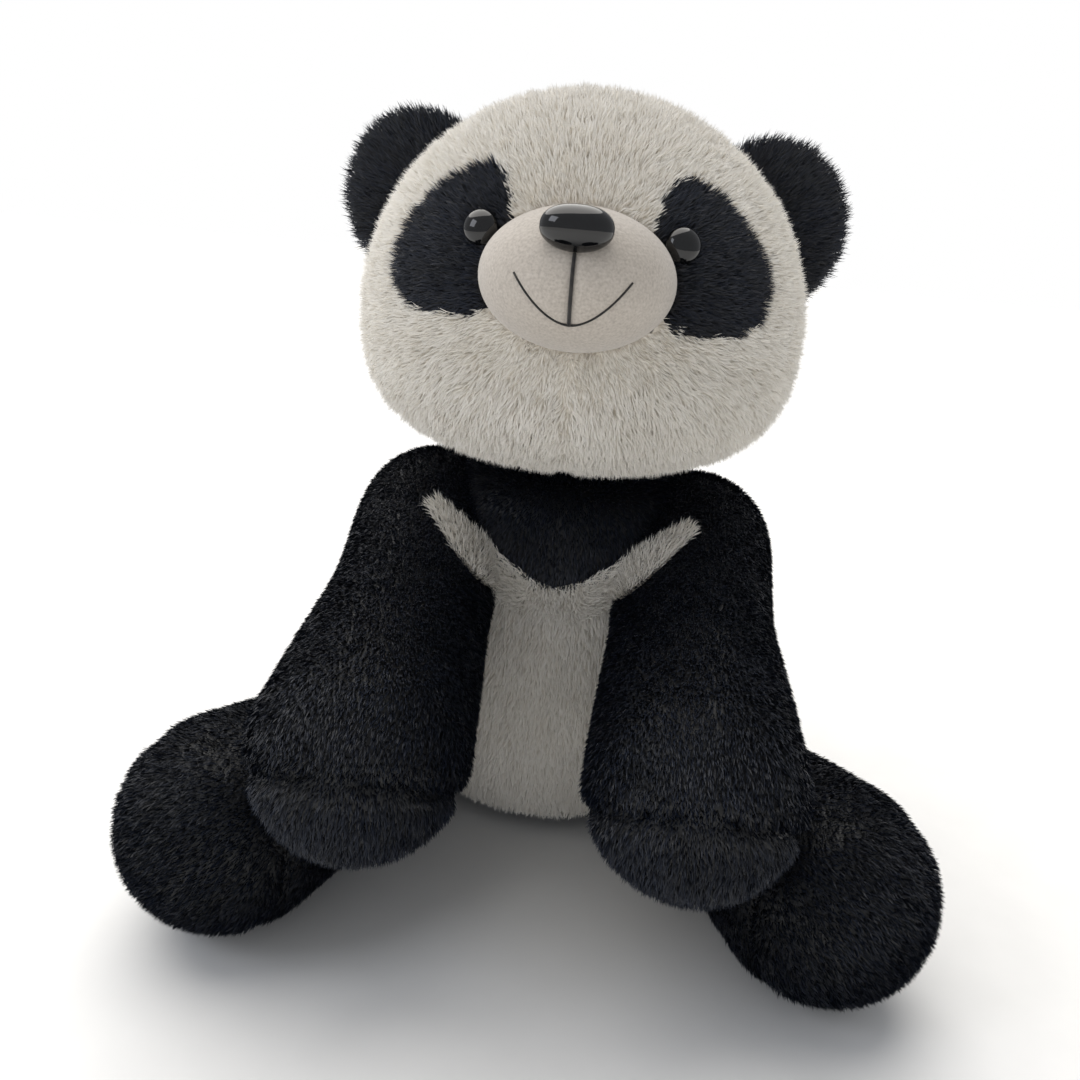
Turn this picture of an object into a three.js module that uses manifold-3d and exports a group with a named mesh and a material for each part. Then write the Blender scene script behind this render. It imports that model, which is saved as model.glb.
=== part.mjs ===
// Sitting plush panda: fur fabric covers sewn over stuffing, with plastic eyes and nose.
// Millimetres, +Z up. It sits on Z = 0 and looks along -Y; its own left is +X.
import * as THREE from 'three';
import { mergeVertices } from 'three/addons/utils/BufferGeometryUtils.js';
import Module from 'manifold-3d';

const wasm = await Module();
wasm.setup();

// Cloth and fits
const cloth = 3; // fur backing with its pile pressed flat
const gap = 0.3; // between pieces that are sewn or pressed together
const swingGap = 1.6; // between pieces that turn against each other
const curveGap = 1.6; // for a flat piece against a curved one

// Sides of each round: more on the large ones
const facets = { head: 28, torso: 26, limb: 16, muzzle: 20, ear: 16, rod: 10, eye: 12 };

// Torso: a lathe profile of radius against height, narrower from front to back
const torso = {
  y: 6,
  depthRatio: 0.84,
  profile: [
    [48, 0], [64, 4], [75, 14], [84, 38], [87, 74], [86, 110], [83, 142], [78, 168],
    [68, 187], [53, 197], [36, 202], [18, 206],
  ],
  crown: 3, // how far the middle of the top stands above the last ring
};
const torsoTop = torso.profile.at(-1)[1] + torso.crown;
const seatHeight = 12; // the seat panel turns up this far

// Head: a round crown over fuller, flatter cheeks
const head = {
  y: -8,
  halfWidth: 111,
  depthRatio: 0.88,
  crownHeight: 108, // above its widest level
  chinDrop: 71, // below its widest level
  chinFullness: 2.8, // 2 is an ellipse, more is flatter underneath
};
const headRest = 3; // between the top of the torso and the chin
const headCentre = new THREE.Vector3(0, head.y, torsoTop + headRest + head.chinDrop);
const gussetWidth = 76;
const faceSplit = 14; // the seam over the ears, behind the middle of the head

// Neck: a ball of stuffing on a stem, inside the head's neck hole
const neck = { y: -2, ball: 31, stem: 17, stemDepth: 41 };
const neckCentre = new THREE.Vector3(0, neck.y, torsoTop + headRest + neck.ball);
const headNod = [-10, 12]; // degrees about X, chin down is positive

// Muzzle, nose and mouth; rises are above the middle of the head, or of the muzzle
const muzzle = { rise: 26, inset: 9.8, size: new THREE.Vector3(42, 46, 30) };
const muzzleCloth = 1.5; // short-pile velour
const nose = { rise: 21, proud: 7.15, size: new THREE.Vector3(14, 9, 8.5) };
const noseShank = { radius: 2.5, length: 28.5, washerAt: 25 };
const threadRadius = 0.8;
const philtrumGap = 1.5; // between the nose and the thread under it
const smileDrop = 15;
const smileEnd = { x: 23, rise: 3 };

// Eyes and their patches; outlines are seen from the front, on the +X side
const eye = { rise: 43, tuck: 1.68, radius: 7.5, height: 5.5 }; // tucked in beside the muzzle
const eyeShank = { radius: 1.8, length: 9.5, washerAt: cloth + curveGap };
const washerThickness = 1.5;
const washerMargin = 3; // how far a washer reaches past its shank
const patchOutline = [
  [41, 70], [59, 62], [75, 47], [83, 31], [82, 16], [70, 7.5], [50, 7],
  [36, 13], [29, 28], [29, 45], [33, 62],
];

// Ears: flat rounds that stand half out of the head
const ear = {
  rise: 53, // above the middle of the head
  back: 22, // behind the middle of the head
  inset: 3.43, // from the head's surface to the fold
  radius: 43,
  halfThickness: 11,
  tilt: 24, // degrees that the fold slopes down outwards
  flare: 12, // degrees that the ear faces outwards
};
const earFold = 15; // degrees, each way
const earCloth = 2.5;

// Legs: splayed along the floor, each ending in a round foot
const leg = { ball: 43, waist: 44, endBall: 52 };
leg.pivot = new THREE.Vector3(72, -14, Math.max(leg.ball, leg.waist) + 2);
leg.end = new THREE.Vector3(139, -138, leg.endBall);
const legSplay = 20; // degrees outward about Z
const footSoleReach = 12; // from the middle of the foot to the sole seam

// Arms: from a round shoulder forward to a fat paw that rests on the foot
const arm = { ball: 46, waist: 42, endBall: 47.5 };
const pawRest = 0.6; // between paw and foot
const pawFromFoot = new THREE.Vector3(-69, -30, 66).setLength(leg.endBall + arm.endBall + pawRest);
arm.pivot = new THREE.Vector3(72, 2, 160);
arm.end = leg.end.clone().add(pawFromFoot);
const armLift = 45; // degrees, upward and outward together
const pawSoleFacing = new THREE.Vector3(0, -0.55, -0.835);
const pawSoleDrop = 14.5; // from the middle of the paw to the sole seam

// Seams of the chest and belly, seen from the front on the +X side
const yokeDip = 152; // lowest point of the chest's V
const yokeTip = { x: 68, z: 192 };
const hipSeam = 21; // how far the belly reaches past the hip, which is as thick as the leg
const bellyOutline = [
  [62, 176], [54, 158], [58, 120], [Math.max(leg.ball, leg.waist - 1) + hipSeam, 80], [60, 40], [50, 4],
];

const far = 1000; // past everything
const fur = (color) => new THREE.MeshStandardMaterial({ color, roughness: 0.95, metalness: 0 });
const creamFur = fur(0xd9d2c6);
const blackFur = fur(0x0a0f18);
const velour = fur(0xa59b92);
const fibre = fur(0xf2f0ea);
const stitching = fur(0x15130f);
const gloss = new THREE.MeshStandardMaterial({ color: 0x050506, roughness: 0.12, metalness: 0 });
const washerPlastic = new THREE.MeshStandardMaterial({ color: 0xe8e8e4, roughness: 0.5, metalness: 0 });

const up = new THREE.Vector3(0, 0, 1);
const group = new THREE.Group();

// A closed geometry as a solid that can be cut and joined
function solidOf(geometry) {
  const bare = geometry.clone();
  bare.deleteAttribute('normal');
  bare.deleteAttribute('uv');
  const merged = mergeVertices(bare, 1e-4);
  return new wasm.Manifold(new wasm.Mesh({
    numProp: 3,
    vertProperties: new Float32Array(merged.attributes.position.array),
    triVerts: new Uint32Array(merged.index.array),
  }));
}

function addNode(name, solid, material) {
  const shape = solid.getMesh();
  const geometry = new THREE.BufferGeometry();
  geometry.setAttribute('position', new THREE.BufferAttribute(shape.vertProperties, 3));
  geometry.setIndex(new THREE.BufferAttribute(shape.triVerts, 1));
  geometry.computeVertexNormals();
  const mesh = new THREE.Mesh(geometry, material);
  mesh.name = name;
  group.add(mesh);
}

const moved = (solid, matrix) => solid.transform(matrix.elements);
const union = (solids) => solids.reduce((all, next) => all.add(next));

function turnAbout(pivot, axis, degrees) {
  const back = new THREE.Matrix4().makeTranslation(-pivot.x, -pivot.y, -pivot.z);
  const turn = new THREE.Matrix4().makeRotationAxis(axis, THREE.MathUtils.degToRad(degrees));
  return new THREE.Matrix4().makeTranslation(pivot).multiply(turn).multiply(back);
}

function place(geometry, position, direction = up) {
  const turn = new THREE.Quaternion().setFromUnitVectors(up, direction.clone().normalize());
  return geometry.applyQuaternion(turn).translate(position.x, position.y, position.z);
}

// Turns a profile of [radius, height] points about Z
function revolve(profile, sides) {
  const points = profile.map(([radius, height]) => new THREE.Vector2(radius, height));
  return new THREE.LatheGeometry(points, sides).rotateX(Math.PI / 2);
}

function ellipsoid(centre, size, grow, sides) {
  const ball = new THREE.SphereGeometry(1, sides, Math.round(sides * 0.6));
  ball.scale(size.x + grow, size.y + grow, size.z + grow);
  return solidOf(ball.translate(centre.x, centre.y, centre.z));
}

const box = (x0, x1, y0, y1, z0, z1) => solidOf(
  new THREE.BoxGeometry(x1 - x0, y1 - y0, z1 - z0)
    .translate((x0 + x1) / 2, (y0 + y1) / 2, (z0 + z1) / 2),
);

function rod(radius, from, to, sides = facets.rod) {
  const along = to.clone().sub(from);
  const cylinder = new THREE.CylinderGeometry(radius, radius, along.length(), sides);
  cylinder.rotateX(Math.PI / 2).translate(0, 0, along.length() / 2);
  return solidOf(place(cylinder, from, along));
}

// A front outline as a prism along Y; grow moves each edge outward
function frontPrism(points, y0, y1, grow = 0) {
  const corners = points.map(([x, z]) => new THREE.Vector2(x, z));
  const turning = Math.sign(THREE.ShapeUtils.area(corners));
  const grown = corners.map((corner, i) => {
    const before = corners[(i + corners.length - 1) % corners.length];
    const after = corners[(i + 1) % corners.length];
    const along = after.clone().sub(before).normalize();
    return corner.clone().add(new THREE.Vector2(along.y, -along.x).multiplyScalar(grow * turning));
  });
  const prism = new THREE.ExtrudeGeometry(new THREE.Shape(grown), { depth: y1 - y0, bevelEnabled: false });
  return solidOf(prism.rotateX(Math.PI / 2).translate(0, y1, 0));
}

const mirrored = (points) => points.map(([x, z]) => [-x, z]);
const smoothLoop = (points, count) => new THREE.CatmullRomCurve3(
  points.map(([x, z]) => new THREE.Vector3(x, 0, z)), true,
).getPoints(count).slice(0, -1).map((point) => [point.x, point.z]);

// ---- Head ----

// The head's radius at a height above its widest level
function headRadius(height, grow) {
  const reach = (height > 0 ? head.crownHeight : head.chinDrop) + grow;
  const power = height > 0 ? 2 : head.chinFullness;
  const share = Math.min(Math.abs(height) / reach, 1);
  return (head.halfWidth + grow) * (1 - share ** power) ** (1 / power);
}

function headSolid(grow) {
  const rings = 14;
  const profile = [];
  for (let i = 0; i <= rings; i += 1) {
    const angle = Math.PI * (i / rings - 0.5);
    const reach = (angle > 0 ? head.crownHeight : head.chinDrop) + grow;
    const height = Math.sin(angle) * reach;
    profile.push([i % rings ? headRadius(height, grow) : 0, height]);
  }
  const shape = revolve(profile, facets.head);
  shape.scale(1, (head.depthRatio * head.halfWidth + grow) / (head.halfWidth + grow), 1);
  return solidOf(shape.translate(headCentre.x, headCentre.y, headCentre.z));
}

// The point of the head's face at (x, z), and which way it faces there
function facePoint(x, z) {
  const radius = headRadius(z - headCentre.z, 0);
  const depth = head.depthRatio * Math.sqrt(radius ** 2 - x ** 2);
  return new THREE.Vector3(x, headCentre.y - depth, z);
}

function faceNormal(x, z) {
  const across = facePoint(x + 1, z).sub(facePoint(x - 1, z));
  const upward = facePoint(x, z + 1).sub(facePoint(x, z - 1));
  return across.cross(upward).normalize();
}

const muzzleCentre = facePoint(0, headCentre.z + muzzle.rise).add(new THREE.Vector3(0, muzzle.inset, 0));
const muzzleSolid = (grow) => ellipsoid(muzzleCentre, muzzle.size, grow, facets.muzzle);

// The point of the muzzle at (x, z), lifted off it
function muzzlePoint(x, z, lift = 0) {
  const across = (x - muzzleCentre.x) / (muzzle.size.x + lift);
  const above = (z - muzzleCentre.z) / (muzzle.size.z + lift);
  const depth = (muzzle.size.y + lift) * Math.sqrt(1 - across ** 2 - above ** 2);
  return new THREE.Vector3(x, muzzleCentre.y - depth, z);
}

const noseCentre = muzzlePoint(0, muzzleCentre.z + nose.rise).sub(new THREE.Vector3(0, nose.proud, 0));
const eyeRise = headCentre.z + eye.rise;
const rimReaches = [0, 15, 30, 45, 60].map((degrees) => {
  const angle = THREE.MathUtils.degToRad(degrees);
  const above = (eye.rise - muzzle.rise - eye.radius * Math.sin(angle)) / muzzle.size.z;
  return muzzle.size.x * Math.sqrt(1 - above ** 2) + eye.radius * Math.cos(angle);
});
const eyeReach = Math.max(...rimReaches) - eye.tuck;

// The stem swings inside this cone as the head nods
function neckHole() {
  const drop = neckCentre.z - (headCentre.z - head.chinDrop) + cloth + 10;
  const spread = Math.tan(THREE.MathUtils.degToRad(Math.max(...headNod.map(Math.abs))));
  const mouth = neck.stem + swingGap + drop * spread;
  const cone = revolve([[0, -drop], [mouth, -drop], [neck.stem + swingGap, 0], [0, 0]], facets.limb);
  return solidOf(place(cone, neckCentre));
}

// A shank from the surface inward and the washer behind the cloth, with the room they need in
// the cloth, where the washer presses in, and in the stuffing
function fastening(seat, inward, shank) {
  const foot = seat.clone().addScaledVector(inward, shank.length);
  const washerFrom = seat.clone().addScaledVector(inward, shank.washerAt);
  const washerTo = washerFrom.clone().addScaledVector(inward, washerThickness);
  const pocketTo = washerTo.clone().addScaledVector(inward, gap);
  const outside = seat.clone().addScaledVector(inward, -12);
  const washerRadius = shank.radius + washerMargin;
  const hole = rod(shank.radius + gap, outside, foot.clone().addScaledVector(inward, gap));
  const pressedFrom = washerFrom.clone().addScaledVector(inward, -gap);
  return {
    shank: rod(shank.radius, seat.clone().addScaledVector(inward, -1), foot),
    washer: rod(washerRadius, washerFrom, washerTo).subtract(hole),
    throughCloth: rod(washerRadius + gap, pressedFrom, pocketTo).add(hole),
    pocket: rod(washerRadius + gap, seat, pocketTo).add(hole),
  };
}

function buildEye(side) {
  const seat = facePoint(side * eyeReach, eyeRise);
  const outward = faceNormal(side * eyeReach, eyeRise);
  const dome = [[0, 0], [eye.radius - 0.6, 0], [eye.radius, 0.7]];
  for (let i = 1; i <= 5; i += 1) {
    const angle = (i / 5) * (Math.PI / 2);
    dome.push([i < 5 ? eye.radius * Math.cos(angle) : 0, 0.7 + (eye.height - 0.7) * Math.sin(angle)]);
  }
  const raised = seat.clone().addScaledVector(outward, 2 * gap);
  const fixed = fastening(raised, outward.clone().negate(), eyeShank);
  return { ...fixed, body: solidOf(place(revolve(dome, facets.eye), raised, outward)).add(fixed.shank) };
}

// A thread laid on the muzzle through points seen from the front
function muzzleThread(points) {
  const path = points.map(([x, z]) => muzzlePoint(x, z, threadRadius + 2 * gap));
  const section = new THREE.Shape().absarc(0, 0, threadRadius, 0, 2 * Math.PI);
  const extrudePath = new THREE.CatmullRomCurve3(path);
  const steps = 4 * (points.length - 1);
  return solidOf(new THREE.ExtrudeGeometry(section, { steps, extrudePath, curveSegments: 4 }));
}

function buildHead() {
  const shell = headSolid(0).subtract(headSolid(-cloth)).subtract(neckHole());
  const open = shell.subtract(muzzleSolid(gap));
  const patch = smoothLoop(patchOutline.map(([x, rise]) => [x, headCentre.z + rise]), 26);
  const patches = { left: patch, right: mirrored(patch) };
  const patchFar = headCentre.y - 20;
  const faceSplitY = headCentre.y + faceSplit;
  const wornPatches = union(
    Object.values(patches).map((outline) => frontPrism(outline, -far, patchFar, gap)),
  );
  const half = gussetWidth / 2;
  const strip = (grow) => box(-half - grow, half + grow, -far, far, muzzleCentre.z - grow, far)
    .add(box(-half - grow, half + grow, faceSplitY - grow, far, 0, far));
  addNode('forehead_gusset', open.intersect(strip(0)).subtract(wornPatches), creamFur);

  const sewn = open.subtract(strip(gap)).subtract(wornPatches);
  const eyes = { left: buildEye(1), right: buildEye(-1) };
  for (const [side, sign] of [['left', 1], ['right', -1]]) {
    const edges = [sign * gap / 2, sign * far].sort((a, b) => a - b);
    const face = box(...edges, -far, faceSplitY - gap, 0, far);
    const back = box(...edges, faceSplitY, far, 0, far);
    const patchPrism = frontPrism(patches[side], -far, patchFar);
    addNode(`${side}_face_panel`, sewn.intersect(face), creamFur);
    addNode(`${side}_head_back`, sewn.intersect(back), creamFur);
    addNode(`${side}_eye_patch`, open.intersect(patchPrism).subtract(eyes[side].throughCloth), blackFur);
    addNode(`${side}_eye`, eyes[side].body, gloss);
    addNode(`${side}_eye_washer`, eyes[side].washer, washerPlastic);
  }

  const fixed = fastening(noseCentre, new THREE.Vector3(0, 1, 0), noseShank);
  const noseDome = ellipsoid(noseCentre, nose.size, 0, facets.eye).subtract(muzzleSolid(gap));
  addNode('nose', noseDome.add(fixed.shank), gloss);
  addNode('nose_washer', fixed.washer, washerPlastic);

  const muzzleShell = muzzleSolid(0).subtract(muzzleSolid(-muzzleCloth));
  addNode('muzzle_cover', muzzleShell.subtract(headSolid(-cloth)).subtract(fixed.throughCloth), velour);

  const stuffing = headSolid(-cloth - gap)
    .add(muzzleSolid(-muzzleCloth - gap))
    .subtract(ellipsoid(neckCentre, new THREE.Vector3().setScalar(neck.ball), swingGap, facets.limb))
    .subtract(neckHole())
    .subtract(eyes.left.pocket)
    .subtract(eyes.right.pocket)
    .subtract(fixed.pocket);
  addNode('head_stuffing', stuffing, fibre);

  const philtrumTop = noseCentre.z - nose.size.z - philtrumGap;
  const smileLow = muzzleCentre.z - smileDrop;
  addNode('philtrum_stitch', muzzleThread([
    [0, philtrumTop],
    [0, (philtrumTop + smileLow) / 2],
    [0, smileLow + 2 * threadRadius + gap],
  ]), stitching);
  const smile = [-1, -0.75, -0.4, 0, 0.4, 0.75, 1].map((share) => [
    share * smileEnd.x,
    smileLow + (smileEnd.rise + smileDrop) * Math.abs(share) ** 1.8,
  ]);
  addNode('smile_stitch', muzzleThread(smile), stitching);
}

// ---- Ears ----

const earCentre = new THREE.Vector3(0, headCentre.y + ear.back, headCentre.z + ear.rise);
earCentre.x = Math.sqrt(headRadius(ear.rise, 0) ** 2 - (ear.back / head.depthRatio) ** 2) - ear.inset;

function earHinge(sign) {
  const tilt = THREE.MathUtils.degToRad(ear.tilt);
  return {
    pivot: new THREE.Vector3(sign * earCentre.x, earCentre.y, earCentre.z),
    axis: new THREE.Vector3(-Math.sin(tilt), 0, sign * Math.cos(tilt)),
  };
}

function earSolid(sign, grow) {
  const disc = new THREE.SphereGeometry(1, facets.ear, facets.ear / 2);
  disc.scale(ear.radius + grow, ear.halfThickness + grow, ear.radius + grow);
  disc.rotateZ(THREE.MathUtils.degToRad(sign * ear.flare));
  return solidOf(disc.translate(sign * earCentre.x, earCentre.y, earCentre.z));
}

function buildEar(side, sign) {
  const { pivot, axis } = earHinge(sign);
  const clearOf = headSolid(swingGap);
  const folds = [-earFold, 0, earFold];
  const headRoom = union(folds.map((fold) => moved(clearOf, turnAbout(pivot, axis, fold))));
  const shell = earSolid(sign, 0).subtract(earSolid(sign, -earCloth)).subtract(headRoom);
  const facing = turnAbout(pivot, up, sign * ear.flare);
  const ahead = moved(box(-far, far, -far, earCentre.y - gap / 2, 0, far), facing);
  const behind = moved(box(-far, far, earCentre.y + gap / 2, far, 0, far), facing);
  addNode(`${side}_ear_front`, shell.intersect(ahead), blackFur);
  addNode(`${side}_ear_back`, shell.intersect(behind), blackFur);
  addNode(`${side}_ear_padding`, earSolid(sign, -earCloth - gap).subtract(headRoom), fibre);
}

// ---- Limbs ----

// A limb about its own axis, from its joint ball at the origin to its end ball
function limbProfile(limb, grow) {
  const length = limb.pivot.distanceTo(limb.end);
  const steps = 4;
  const profile = [];
  for (let i = 0; i <= steps; i += 1) {
    const angle = (Math.PI / 2) * (i / steps - 1);
    profile.push([i ? (limb.ball + grow) * Math.cos(angle) : 0, (limb.ball + grow) * Math.sin(angle)]);
  }
  profile.push([limb.waist + grow, length * 0.35], [limb.waist + grow, length * 0.55]);
  for (let i = -1; i <= steps; i += 1) {
    const angle = (Math.PI / 2) * (i / steps);
    const radius = i < steps ? (limb.endBall + grow) * Math.cos(angle) : 0;
    profile.push([radius, length + (limb.endBall + grow) * Math.sin(angle)]);
  }
  return profile;
}

function limbSolid(limb, sign, grow) {
  const along = limb.end.clone().sub(limb.pivot).multiply(new THREE.Vector3(sign, 1, 1));
  const pivot = limb.pivot.clone().multiply(new THREE.Vector3(sign, 1, 1));
  return solidOf(place(revolve(limbProfile(limb, grow), facets.limb), pivot, along));
}

// What a limb takes up near its joint as it swings: a round socket and a fan of its shank
function limbSweep(limb, sign, axis, stop) {
  const flip = new THREE.Vector3(sign, 1, 1);
  const pivot = limb.pivot.clone().multiply(flip);
  const end = limb.end.clone().multiply(flip);
  const socket = ellipsoid(pivot, new THREE.Vector3().setScalar(limb.ball), swingGap, facets.limb);
  const flat = Math.cos(Math.PI / facets.rod); // a rod's flat sides stand closer than its edges
  const shank = rod(Math.max(limb.ball + 2 * swingGap, limb.waist / flat), pivot, end);
  const fan = [0, 1 / 3, 2 / 3, 1].map((step) => moved(shank, turnAbout(pivot, axis, step * stop)));
  return union([socket, ...fan]);
}

// Everything on the far side of a plane through a point
function beyond(point, facing, grow = 0) {
  const slab = new THREE.BoxGeometry(300, 300, 300).translate(0, 0, 150 - grow);
  return solidOf(place(slab, point, facing));
}

// The joint ball is open towards the torso, where the cover is sewn on
function buildLimb(limb, side, sign, names, soleFacing, soleReach, opening) {
  const flip = new THREE.Vector3(sign, 1, 1);
  const end = limb.end.clone().multiply(flip);
  const facing = soleFacing.clone().multiply(flip).normalize();
  const seam = end.clone().addScaledVector(facing, soleReach);
  const shell = limbSolid(limb, sign, 0).subtract(limbSolid(limb, sign, -cloth));
  const mouth = beyond(
    limb.pivot.clone().multiply(flip).addScaledVector(opening.clone().multiply(flip), limb.ball * 0.55),
    opening.clone().multiply(flip),
  );
  const cover = shell.subtract(beyond(seam, facing, gap)).subtract(mouth);
  addNode(`${side}_${names[0]}`, cover, blackFur);
  addNode(`${side}_${names[1]}`, shell.intersect(beyond(seam, facing)), blackFur);
  addNode(`${side}_${names[2]}`, limbSolid(limb, sign, -cloth - gap), fibre);
}

// ---- Torso ----

function torsoSolid(grow) {
  const curve = new THREE.SplineCurve(torso.profile.map(([r, z]) => new THREE.Vector2(r, z)));
  const middle = torsoTop / 2;
  const rescale = (middle + grow) / middle;
  const points = curve.getPoints(13).map((point) => [
    point.x + grow,
    middle + (point.y - middle) * rescale,
  ]);
  const profile = [[0, -grow], ...points, [0, middle + middle * rescale]];
  const shape = revolve(profile, facets.torso);
  const girth = Math.max(...torso.profile.map(([radius]) => radius));
  shape.scale(1, (torso.depthRatio * girth + grow) / (girth + grow), 1);
  return solidOf(shape.translate(0, torso.y, 0));
}

const yokeEdge = [-1, -0.8, -0.55, -0.3, 0, 0.3, 0.55, 0.8, 1].map((share) => [
  share * yokeTip.x,
  yokeDip + (yokeTip.z - yokeDip) * Math.abs(share) ** 1.35,
]);

function buildTorso() {
  const room = union(
    [1, -1].flatMap((sign) => [
      limbSweep(arm, sign, new THREE.Vector3(-1, 0, sign).normalize(), armLift),
      limbSweep(leg, sign, up, sign * legSplay),
      rod(
        leg.ball + swingGap,
        new THREE.Vector3(sign * leg.pivot.x, leg.pivot.y, -1),
        new THREE.Vector3(sign * leg.pivot.x, leg.pivot.y, leg.pivot.z),
        facets.limb,
      ),
    ]),
  );
  const stemFoot = neckCentre.clone().setZ(torsoTop - neck.stemDepth);
  const stemHole = rod(neck.stem + swingGap, stemFoot.clone().setZ(stemFoot.z - gap), neckCentre);
  const shell = torsoSolid(0).subtract(torsoSolid(-cloth)).subtract(room).subtract(stemHole);
  const belly = [
    ...yokeEdge.slice().reverse(),
    ...mirrored(bellyOutline),
    ...bellyOutline.slice().reverse(),
  ];
  const yoke = [...yokeEdge, [yokeTip.x + 30, yokeTip.z + 40], [-yokeTip.x - 30, yokeTip.z + 40]];
  const front = (outline, grow) => frontPrism(outline, -far, torso.y, grow);
  const seat = (grow) => box(-far, far, -far, far, -10, seatHeight + grow);
  addNode('seat_panel', shell.intersect(seat(0)), blackFur);
  const above = shell.subtract(seat(gap));
  addNode('belly_panel', above.intersect(front(belly, 0)), creamFur);
  const bellyRoom = front(belly, gap);
  addNode('chest_yoke', above.intersect(front(yoke, 0)).subtract(bellyRoom), blackFur);
  const rest = above.subtract(bellyRoom).subtract(front(yoke, gap));
  addNode('left_back_panel', rest.intersect(box(gap / 2, far, -far, far, 0, far)), blackFur);
  addNode('right_back_panel', rest.intersect(box(-far, -gap / 2, -far, far, 0, far)), blackFur);
  addNode('torso_stuffing', torsoSolid(-cloth - gap).subtract(room).subtract(stemHole), fibre);

  const stemTop = neckCentre.clone().setZ(neckCentre.z - neck.ball * 0.6);
  const ball = ellipsoid(neckCentre, new THREE.Vector3().setScalar(neck.ball), 0, facets.limb);
  addNode('neck_stuffing', ball.add(rod(neck.stem, stemFoot, stemTop)), fibre);
}

buildHead();
for (const [side, sign] of [['left', 1], ['right', -1]]) {
  buildEar(side, sign);
  buildLimb(
    arm, side, sign, ['arm_cover', 'paw_sole', 'arm_stuffing'],
    pawSoleFacing, pawSoleDrop, new THREE.Vector3(-1, 0, 0),
  );
  buildLimb(
    leg, side, sign, ['leg_cover', 'foot_sole', 'leg_stuffing'],
    leg.end.clone().sub(leg.pivot).setZ(0), footSoleReach, new THREE.Vector3(-0.8, 0.6, 0),
  );
}
buildTorso();

export default group;
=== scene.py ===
import math
import time

import bmesh
import bpy
from mathutils import Matrix, Vector
from mathutils.bvhtree import BVHTree


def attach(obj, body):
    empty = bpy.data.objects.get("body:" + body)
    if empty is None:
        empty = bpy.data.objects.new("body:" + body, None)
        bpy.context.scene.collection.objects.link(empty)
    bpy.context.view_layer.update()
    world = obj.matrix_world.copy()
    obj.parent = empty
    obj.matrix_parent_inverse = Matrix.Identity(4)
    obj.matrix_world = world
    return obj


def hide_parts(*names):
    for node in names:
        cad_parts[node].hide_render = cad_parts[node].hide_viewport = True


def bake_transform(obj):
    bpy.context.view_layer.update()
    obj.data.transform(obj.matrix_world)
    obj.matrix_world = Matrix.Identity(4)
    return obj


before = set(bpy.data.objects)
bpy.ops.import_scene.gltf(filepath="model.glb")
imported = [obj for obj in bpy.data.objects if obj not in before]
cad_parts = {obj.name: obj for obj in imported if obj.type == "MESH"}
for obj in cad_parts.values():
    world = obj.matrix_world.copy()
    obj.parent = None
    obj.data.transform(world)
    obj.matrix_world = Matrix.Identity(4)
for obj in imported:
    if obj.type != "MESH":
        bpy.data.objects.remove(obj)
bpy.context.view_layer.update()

# Sitting plush panda: fur fabric with its pile as real strands, velour muzzle, plastic eyes
# and nose. Lengths in the dictionaries are millimetres.

began = time.time()
mm = 0.001
sides = (("left", 1), ("right", -1))


def report(stage):
    print(f"{time.time() - began:6.1f} s  {stage}", flush=True)


def linear(code):
    parts = [int(code[i:i + 2], 16) / 255 for i in (1, 3, 5)]
    return (*[c / 12.92 if c <= 0.04045 else ((c + 0.055) / 1.055) ** 2.4 for c in parts], 1)


def add(tree, kind, settings=(), links=()):
    # settings and links are keyed by property, input name or input number
    node = tree.nodes.new(kind)
    for name, value in dict(settings).items():
        if isinstance(name, str) and hasattr(node, name):
            setattr(node, name, value)
        else:
            node.inputs[name].default_value = value
    for name, source in dict(links).items():
        tree.links.new(source, node.inputs[name])
    return node


def newMaterial(name, **sockets):
    material = bpy.data.materials.new(name)
    material.use_nodes = True
    shader = material.node_tree.nodes["Principled BSDF"]
    for socket, value in sockets.items():
        shader.inputs[socket.replace("_", " ")].default_value = value
    return material, material.node_tree, shader


def ramp(tree, source, stops):
    node = add(tree, "ShaderNodeValToRGB", {}, {"Fac": source})
    while len(node.color_ramp.elements) < len(stops):
        node.color_ramp.elements.new(0.5)
    for element, (place, code) in zip(node.color_ramp.elements, stops):
        element.position = place
        element.color = linear(code)
    return node.outputs["Color"]


# Materials

def furMaterial(name, dull, bright, roughness, sheen, tint):
    # Acrylic pile fabric: the map's height runs from root to tip, its width from dull to bright.
    # Toward the root the colour is darker, as painted shade between the strands.
    material, tree, shader = newMaterial(name, Roughness=roughness, Sheen_Weight=sheen)
    shader.inputs["Sheen Roughness"].default_value = 0.45
    shader.inputs["Sheen Tint"].default_value = linear(tint)
    place = add(tree, "ShaderNodeUVMap", {"uv_map": "OFBake"})
    parts = add(tree, "ShaderNodeSeparateXYZ", {}, {"Vector": place.outputs["UV"]})
    low = ramp(tree, parts.outputs["Y"], dull)
    high = ramp(tree, parts.outputs["Y"], bright)
    mixed = add(tree, "ShaderNodeMix", {"data_type": "RGBA"},
                {0: parts.outputs["X"], 6: low, 7: high})
    tree.links.new(mixed.outputs[2], shader.inputs["Base Color"])
    return material


creamPile = furMaterial(
    "cream_acrylic_pile",
    # ramps run root (0) to tip (1); their darker root end is painted shade between the strands
    dull=[(0, "#d9d2c6"), (0.45, "#efeae0"), (1, "#f6f2ea")],
    bright=[(0, "#e6e0d5"), (0.4, "#f7f3eb"), (1, "#fdfbf6")],
    roughness=0.75, sheen=0.2, tint="#fff6e8",
)
blackPile = furMaterial(
    "black_acrylic_pile",
    # ramps run root (0) to tip (1); their darker root end is painted shade between the strands
    dull=[(0, "#010204"), (0.6, "#04080f"), (1, "#080e18")],
    bright=[(0, "#02040a"), (0.5, "#071124"), (1, "#13223a")],
    roughness=0.5, sheen=0.03, tint="#9fb4d8",
)


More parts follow.
